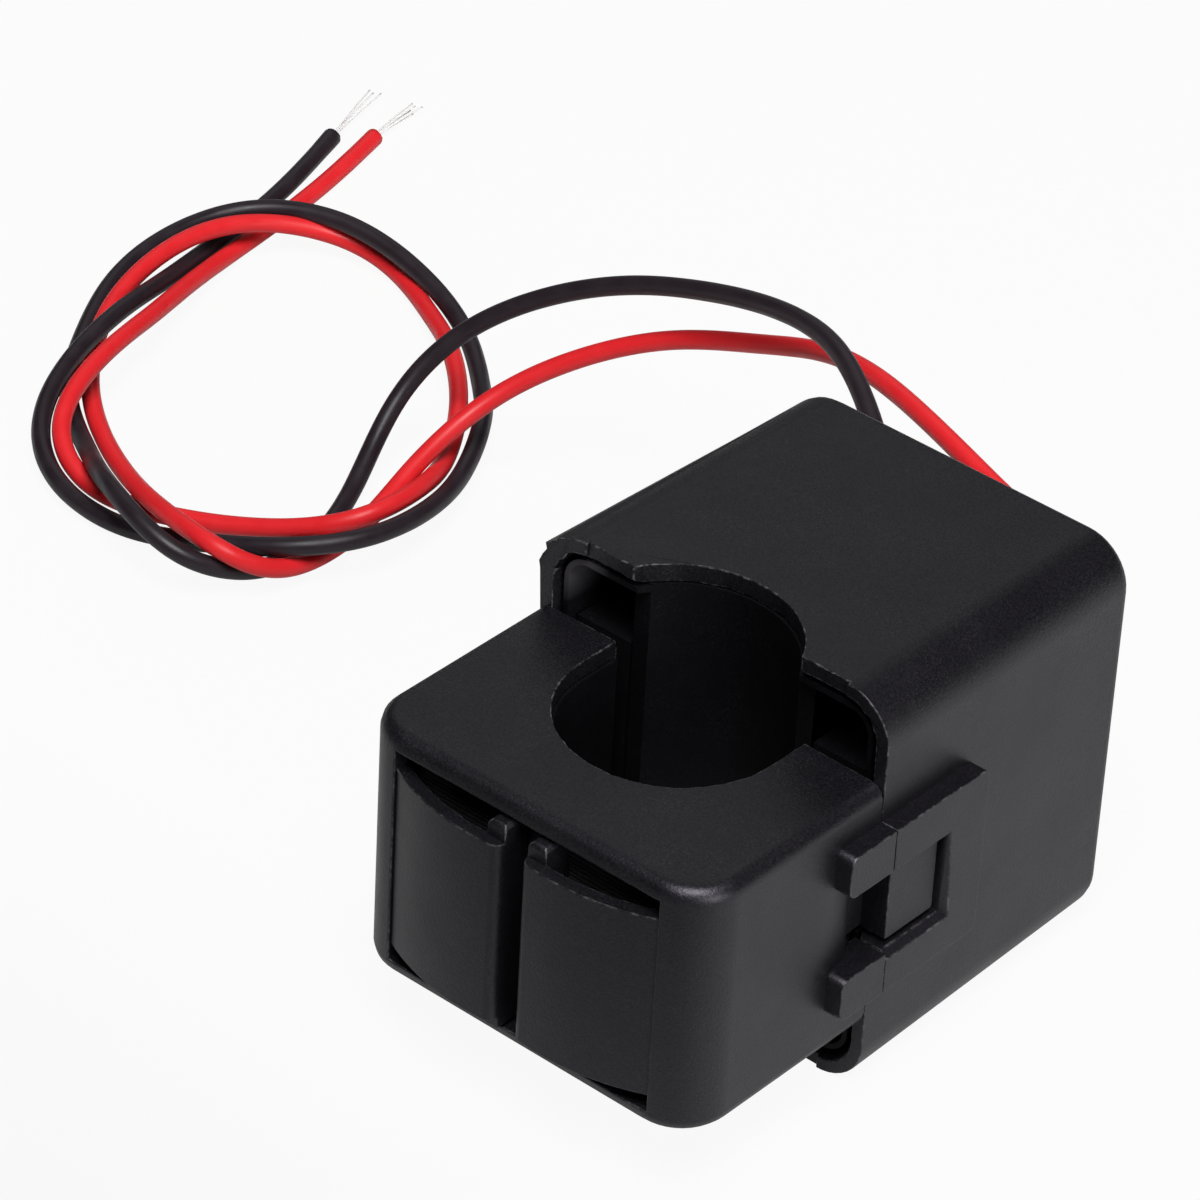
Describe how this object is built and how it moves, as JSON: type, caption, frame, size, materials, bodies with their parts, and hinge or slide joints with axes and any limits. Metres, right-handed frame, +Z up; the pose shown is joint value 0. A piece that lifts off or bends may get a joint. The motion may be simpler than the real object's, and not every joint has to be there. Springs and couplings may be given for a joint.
{
  "type": "split-core current transformer",
  "caption": "Black plastic split-core current transformer: a taller rear half with the winding, a clip-on front half with bowed leaf springs, a round cable aperture and red and black leads.",
  "frame": {"origin": "on the aperture's axis at mid height of the rear housing", "axes": "+Z up along the aperture, +Y towards the rear housing's back and its leads, +X to the right seen from the leaf springs"},
  "size_m": [0.1148, 0.0942, 0.032],
  "materials": {
    "housing_plastic": "fine spark-eroded grain",
    "insert_plastic": "matte moulded",
    "core_steel": "black varnished core with ground pole faces",
    "bobbin_plastic": "matte moulded",
    "enamelled_copper": "enamelled copper wire",
    "winding_tape": "polyester tape",
    "tinned_pin": "tinned",
    "solder": "bright solder",
    "shrink_sleeve": "heat-shrink sleeve",
    "black_pvc": "satin PVC",
    "red_pvc": "satin PVC",
    "tinned_copper": "fine tinned strands"
  },
  "bodies": {
    "rear_half": {"rear_housing": "housing_plastic", "mouth_insert": "insert_plastic", "rear_core": "core_steel", "bobbin": "bobbin_plastic", "secondary_winding": "enamelled_copper", "winding_tape": "winding_tape", "black_pin": "tinned_pin", "red_pin": "tinned_pin", "black_joint": "solder", "red_joint": "solder", "black_sleeve": "shrink_sleeve", "red_sleeve": "shrink_sleeve", "black_inner_lead": "black_pvc", "red_inner_lead": "red_pvc", "black_lead": "black_pvc", "red_lead": "red_pvc", "black_strands": "tinned_copper", "red_strands": "tinned_copper"},
    "front_half": {"front_housing": "housing_plastic", "front_liner": "insert_plastic", "front_core": "core_steel"}
  },
  "joints": [
    {"name": "front_half_pull", "type": "slide", "parent": "rear_half", "child": "front_half", "axis": [0, -1, 0], "range_m": [0, 0.022]}
  ]
}
